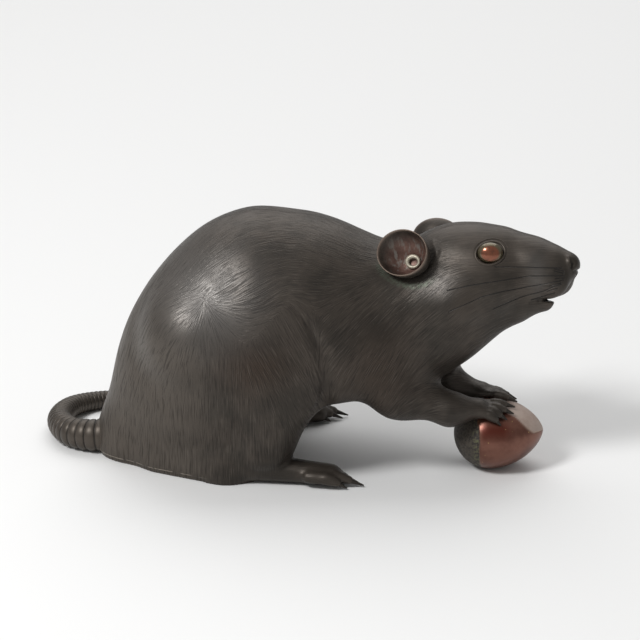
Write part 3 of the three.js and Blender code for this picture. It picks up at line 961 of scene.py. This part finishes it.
def rat_marks(p):
    """How the hair lies on each point, its painted rump sheen, its tone, and its verdigris, seam and
    painted highlights.
    """
    reach = 1.1
    steps = reach * np.vstack([np.eye(3), -np.eye(3)])
    near = [rat_field(p + step) for step in steps]
    bend = sum(near) / 6 / reach
    edge = smooth(bend, 0.12, 0.45)
    hollow = smooth(-bend, 0.05, 0.35)
    normal = np.column_stack([near[axis] - near[axis + 3] for axis in range(3)])
    tilt = np.arctan2(normal[:, 2], abs(normal[:, 1]) + 0.15 * abs(normal[:, 0]))
    # painted sheen: 1 over the rear of the rump, which is painted lighter where the light grazes it
    rump_sheen = smooth(-p[:, 0], 26, 50)
    on_side = p * [1, 0, 1]
    brown = spot_light(on_side, (-20, 0, 47), (13, 1, 10))
    brown = brown + 0.7 * spot_light(on_side, (24, 0, 42), (13, 1, 16))
    on_head = to_head(p) * [1, 0, 1]
    # Rubbed wear round the whorl with a painted highlight over it, and painted highlights on the muzzle
    # and on the cheek below the ear.
    polish_and_highlight = spot_light(on_side, (WHORL[0], 0, WHORL[1]), (17, 1, 15))
    polish_and_highlight = polish_and_highlight + 0.5 * spot_light(on_head, (27.5, 0, -2), (3, 1, 7))
    polish_and_highlight = polish_and_highlight + 0.4 * spot_light(on_head, (-5, 0, -6), (6, 1, 5))
    verdigris = np.zeros(len(p))
    for side in SIDES:
        turn, place = ear_frame(side)
        q = (p - place) @ np.linalg.inv(turn).T
        ring = smooth(-abs(np.hypot(q[:, 0], q[:, 2]) - EAR_RADIUS * 1.15), -1.8, -0.5)
        ring = ring * smooth(-q[:, 0] - q[:, 2], -4, 6)
        verdigris = np.maximum(verdigris, 0.7 * ring * smooth(-abs(q[:, 1] + 6 * side), -12, -8))
    root, second = tail_line(200)[[0, 20]]
    tail_joint = smooth(-abs(limb(root, second, TAIL_ROOT_RADIUS, TAIL_ROOT_RADIUS)(p)), -1.1, -0.3)
    lie = np.column_stack([tilt, np.sign(normal[:, 1]), rump_sheen])
    tone = np.column_stack([edge, hollow, np.clip(brown, 0, 1)])
    return {"lie": lie, "tone": tone, "dirt_and_highlight": np.column_stack([verdigris, tail_joint, polish_and_highlight])}


def claw(root, tip, radius):
    line = digit_line(root, tip, radius)[CLAW_START:]
    thickness = np.linspace(CLAW_RADIUS * 1.35, CLAW_RADIUS * 0.3, len(line))
    return tube(line, thickness, 10)


def lid_line(side, length, height, count):
    """An oval outline round the eye, laid on the face."""
    angle = np.linspace(0, 2 * math.pi, count, endpoint=False)
    flat = np.column_stack([length * np.cos(angle), np.zeros(count), height * np.sin(angle)])
    mirror = np.array([1, side, 1])
    start = flat @ eye_turn(side).T + EYE_PLACE * mirror + [0, 8 * side, 0]
    inwards = HEAD_TURN @ [0, -side, 0]
    return drop(from_head(start), inwards, RAT_SKIN)


def rat():
    """The casting: its skin on a grid that is finest at the face, then claws and lids."""
    xs = lines((-84, 36, 1.2), (36, 76, 0.68), (76, 96, 0.5))
    ys = lines((-47, -38, 0.9), (-38, 12, 0.7), (12, 47, 0.95))
    zs = lines((-0.9, 3, 0.5), (3, 54, 0.85), (54, 96, 0.7))
    points, faces = skin(rat_field, xs, ys, zs)
    points = settle(rat_field, points)
    body = Shells("hair", "lie", "tone", "dirt_and_highlight")
    body.add((points, faces), hair=hair_flow(points), **rat_marks(points))
    for side in SIDES:
        for ends in toe_ends(side):
            body.add(claw(*ends, TOE_RADIUS), tone=(0, 0.6, 0))
        for ends in finger_ends(side):
            body.add(claw(*ends, FINGER_RADIUS), tone=(0, 0.6, 0))
        body.add(tube(lid_line(side, 4.9, 3.9, 48), LID_RADIUS, 8, True), tone=(0.5, 0, 0))
        fold = lid_line(side, 6, 4.9, 60)[1:30]
        body.add(tube(fold, 0.22 * np.sin(np.linspace(0.1, 3.04, 29)), 6), tone=(0.3, 0, 0))
    return body.piece("rat", bronze_material(), "dark_bronze", "rat_body")


def tail():
    """Rings that swell between sharp cuts."""
    samples = 1800
    sides = 36
    line = tail_line(samples)
    t = np.linspace(0, 1, samples)
    step = np.linalg.norm(np.diff(line, axis=0), axis=1).mean()
    phase = np.cumsum(step / (TAIL_RING * tail_radius(t)))
    swell = np.abs(np.sin(math.pi * phase)) ** 0.35
    keep = np.arange(0, samples, 2)
    radius = tail_radius(t) * (1 - TAIL_GROOVE * (1 - swell))
    points, faces = tube(line[keep], radius[keep], sides)
    groove = np.repeat(smooth(1 - swell[keep], 0.3, 0.7), sides)
    tone = np.column_stack([0.5 * (1 - groove) ** 4, groove, 0 * groove])
    body = Shells("tone")
    body.add((points, faces), tone=tone)
    return body.piece("tail", bpy.data.materials["dark bronze"], "dark_bronze", "tail")


def bowl(turn, place, side):
    """The ear's shell from its outer bottom over the rim to its inner bottom, and its tones."""
    stops = 16
    sides = 64
    arc = np.linspace(0, math.pi / 2, stops)
    wall = EAR_WALL + (EAR_RIM - EAR_WALL) * (arc / arc[-1]) ** 2
    outer = np.column_stack([EAR_RADIUS * np.sin(arc), EAR_DEPTH * np.cos(arc)])
    inner = np.column_stack([(EAR_RADIUS - wall) * np.sin(arc), (EAR_DEPTH - wall) * np.cos(arc)])
    profile = np.vstack([outer[1:], inner[:0:-1]])
    inside = np.concatenate([np.zeros(stops - 1), smooth(arc[:0:-1], 1.5, 0.6)])
    # where the painted highlight along the ear's edge lies
    rim = np.exp(-(((np.arange(len(profile)) - stops + 1.5) / 1.2) ** 2))
    angle = np.linspace(0, 2 * math.pi, sides, endpoint=False)
    radius = profile[:, 0, None]
    points = np.stack(
        [
            radius * np.cos(angle),
            np.repeat(-profile[:, 1, None] * side, sides, 1),
            radius * np.sin(angle),
        ],
        -1,
    ).reshape(-1, 3)
    hubs = np.array([[0, -EAR_DEPTH * side, 0], [0, -(EAR_DEPTH - EAR_WALL) * side, 0]])
    rings = len(profile)
    faces = []
    for j in range(sides):
        k = (j + 1) % sides
        for i in range(rings - 1):
            faces.append((i * sides + j, i * sides + k, (i + 1) * sides + k, (i + 1) * sides + j))
        faces.append((rings * sides, k, j))
        faces.append((rings * sides + 1, (rings - 1) * sides + j, (rings - 1) * sides + k))
    if side > 0:
        faces = [face[::-1] for face in faces]
    tone = np.repeat(np.column_stack([inside, rim, 0 * rim]), sides, axis=0)
    tone = np.vstack([tone, [[0, 0, 0], [1, 0, 0]]])
    return (np.vstack([points, hubs]) @ turn.T + place, faces), tone


def ear(side, material):
    """The bowl with the pale ring round its canal."""
    turn, place = ear_frame(side)
    body = Shells("tone")
    surface, tone = bowl(turn, place, side)
    body.add(surface, tone=tone)
    angle = np.linspace(0, 2 * math.pi, 40, endpoint=False)
    centre = np.array([0.3, -(EAR_DEPTH - 1.9) * side, -0.6])
    circle = np.column_stack([np.cos(angle), 0 * angle, np.sin(angle)])
    ring = centre + CANAL_RADIUS * circle
    thickness = 0.7 + 0.2 * np.cos(angle - 2.6)
    body.add(tube(ring @ turn.T + place, thickness, 12, True), tone=(0, 0, 1))
    return body.piece(f"ear_{SIDE_NAMES[side]}", material, "ear_copper", f"ear_{SIDE_NAMES[side]}")


def ball(sides, rings):
    """Points of a unit ball with its poles on Y, and its faces."""
    points = [(0, -1, 0)]
    for i in range(1, rings):
        rise = -math.cos(math.pi * i / rings)
        radius = math.sin(math.pi * i / rings)
        for j in range(sides):
            angle = 2 * math.pi * j / sides
            points.append((radius * math.cos(angle), rise, -radius * math.sin(angle)))
    points.append((0, 1, 0))
    last = len(points) - 1
    faces = []
    for j in range(sides):
        k = (j + 1) % sides
        faces.append((0, 1 + k, 1 + j))
        for i in range(rings - 2):
            here, there = 1 + i * sides, 1 + (i + 1) * sides
            faces.append((here + j, here + k, there + k, there + j))
        faces.append((last, last - sides + j, last - sides + k))
    return np.array(points), faces


def eye(side, material):
    """A flattened bead; the iris mark is 1 over its middle."""
    points, faces = ball(40, 28)
    iris = smooth(-np.hypot(points[:, 0], points[:, 2]), -0.78, -0.62)
    mirror = np.array([1, side, 1])
    placed = (points * EYE_RADII) @ eye_turn(side).T + EYE_PLACE * mirror
    body = Shells("tone")
    body.add((from_head(placed), faces), tone=np.column_stack([iris, 0 * iris, 0 * iris]))
    return body.piece(f"eye_{SIDE_NAMES[side]}", material, "eye_copper", f"eye_{SIDE_NAMES[side]}")


def chestnut():
    """The nut, with a wavy scar edge, a keel near the tip, a pale painted reflection on one side and a
    green tinge.
    """
    sides, rings = 160, 90
    angle = np.linspace(-math.pi / 2, math.pi / 2, rings)
    along = np.where(angle < 0, NUT_WAIST, 1 - NUT_WAIST) * NUT_LENGTH * np.sin(angle)
    rim = nut_rim(along)
    around = np.linspace(0, 2 * math.pi, sides, endpoint=False)
    points = np.stack(
        [
            np.repeat(along[:, None], sides, 1),
            rim[:, None] * np.cos(around) * NUT_WIDTH / NUT_HEIGHT,
            rim[:, None] * np.sin(around),
        ],
        -1,
    ).reshape(-1, 3)
    faces = []
    for i in range(rings - 1):
        for j in range(sides):
            k = (j + 1) % sides
            faces.append((i * sides + k, i * sides + j, (i + 1) * sides + j, (i + 1) * sides + k))
    x = points[:, 0]
    lean = np.arctan2(points[:, 2], -points[:, 1])
    scar = smooth(0.25 * np.sin(5 * lean) - x, 4.1, 4.4)
    off_keel = lean - np.interp(x, [2, 9, 13, 15.5], [1.1, 0.83, 0.48, 0.25])
    keel = np.exp(-((off_keel / 0.05) ** 2)) * smooth(x, 10, 14)
    # where the painted reflection lies, on the upper side towards the tip
    pale = smooth(off_keel, -0.02, 0.06) * smooth(x, 1, 4) * smooth(-lean, -2.8, -2.4)
    band = np.exp(-(((lean - 0.42) / 0.22) ** 2)) * smooth(x, -4, -2.5) * smooth(-x, -9, -4)
    green = np.exp(-(((x + 5.2) / 1.2) ** 2))
    placed = points @ NUT_TURN.T + NUT_CENTRE
    placed[:, 2] = np.maximum(placed[:, 2], 0)
    body = Shells("tone", "worn")
    tone = np.column_stack([scar, band, keel])
    body.add((placed, faces), tone=tone, worn=np.column_stack([pale, green, 0 * x]))
    return body.piece("chestnut", nut_material(), "nut_copper", "chestnut")


rat()
tail()
ear_copper = ear_material()
eye_copper = eye_material()
for side in SIDES:
    ear(side, ear_copper)
    eye(side, eye_copper)
chestnut()


# Setting: a wide pale floor in soft light, with one lamp to the upper left and one behind.
TARGET = np.array([3, 0, 50.8]) + SHIFT
CAMERA_DISTANCE = 1100
CAMERA_RISE = math.radians(20)
SENSOR_WIDTH = 36
FOCAL_LENGTH = 172.9


def aimed(thing, place):
    """Puts an object at a place in millimetres and points it at the target."""
    thing.location = Vector(place) / 1000
    ahead = Vector(TARGET) / 1000 - thing.location
    thing.rotation_euler = ahead.to_track_quat("-Z", "Y").to_euler()
    bpy.context.scene.collection.objects.link(thing)


def lamp(name, place, size, power):
    light = bpy.data.lights.new(name, "AREA")
    light.size = size / 1000
    light.energy = power
    aimed(bpy.data.objects.new(name, light), place)


def floor():
    mesh = bpy.data.meshes.new("floor")
    half = 6
    corners = [(-half, -half, 0), (half, -half, 0), (half, half, 0), (-half, half, 0)]
    mesh.from_pydata(corners, [], [(0, 1, 2, 3)])
    s = Shader("pale floor")
    cloud = s.noise(s.place(), 300)
    mesh.materials.append(s.finish((0.86, 0.86, 0.855), 0, s.fade(cloud, 0.85, 0.9), s.bump(cloud, 0.01)))
    ground = bpy.data.objects.new("floor", mesh)
    bpy.context.scene.collection.objects.link(ground)


floor()
lens = bpy.data.cameras.new("camera")
lens.sensor_width = SENSOR_WIDTH
lens.lens = FOCAL_LENGTH
camera = bpy.data.objects.new("camera", lens)
away = np.array([0, -math.cos(CAMERA_RISE), math.sin(CAMERA_RISE)])
aimed(camera, TARGET + CAMERA_DISTANCE * away)
bpy.context.scene.camera = camera

lamp("key", (-620, -520, 900), 300, 8.6)
lamp("overhead", (0, 900, 1300), 1600, 13.3)

world = bpy.data.worlds.new("studio")
world.use_nodes = True
world.node_tree.nodes["Background"].inputs["Color"].default_value = (1, 1, 1, 1)
world.node_tree.nodes["Background"].inputs["Strength"].default_value = 0.34
bpy.context.scene.world = world
bpy.context.scene.view_settings.view_transform = "Standard"
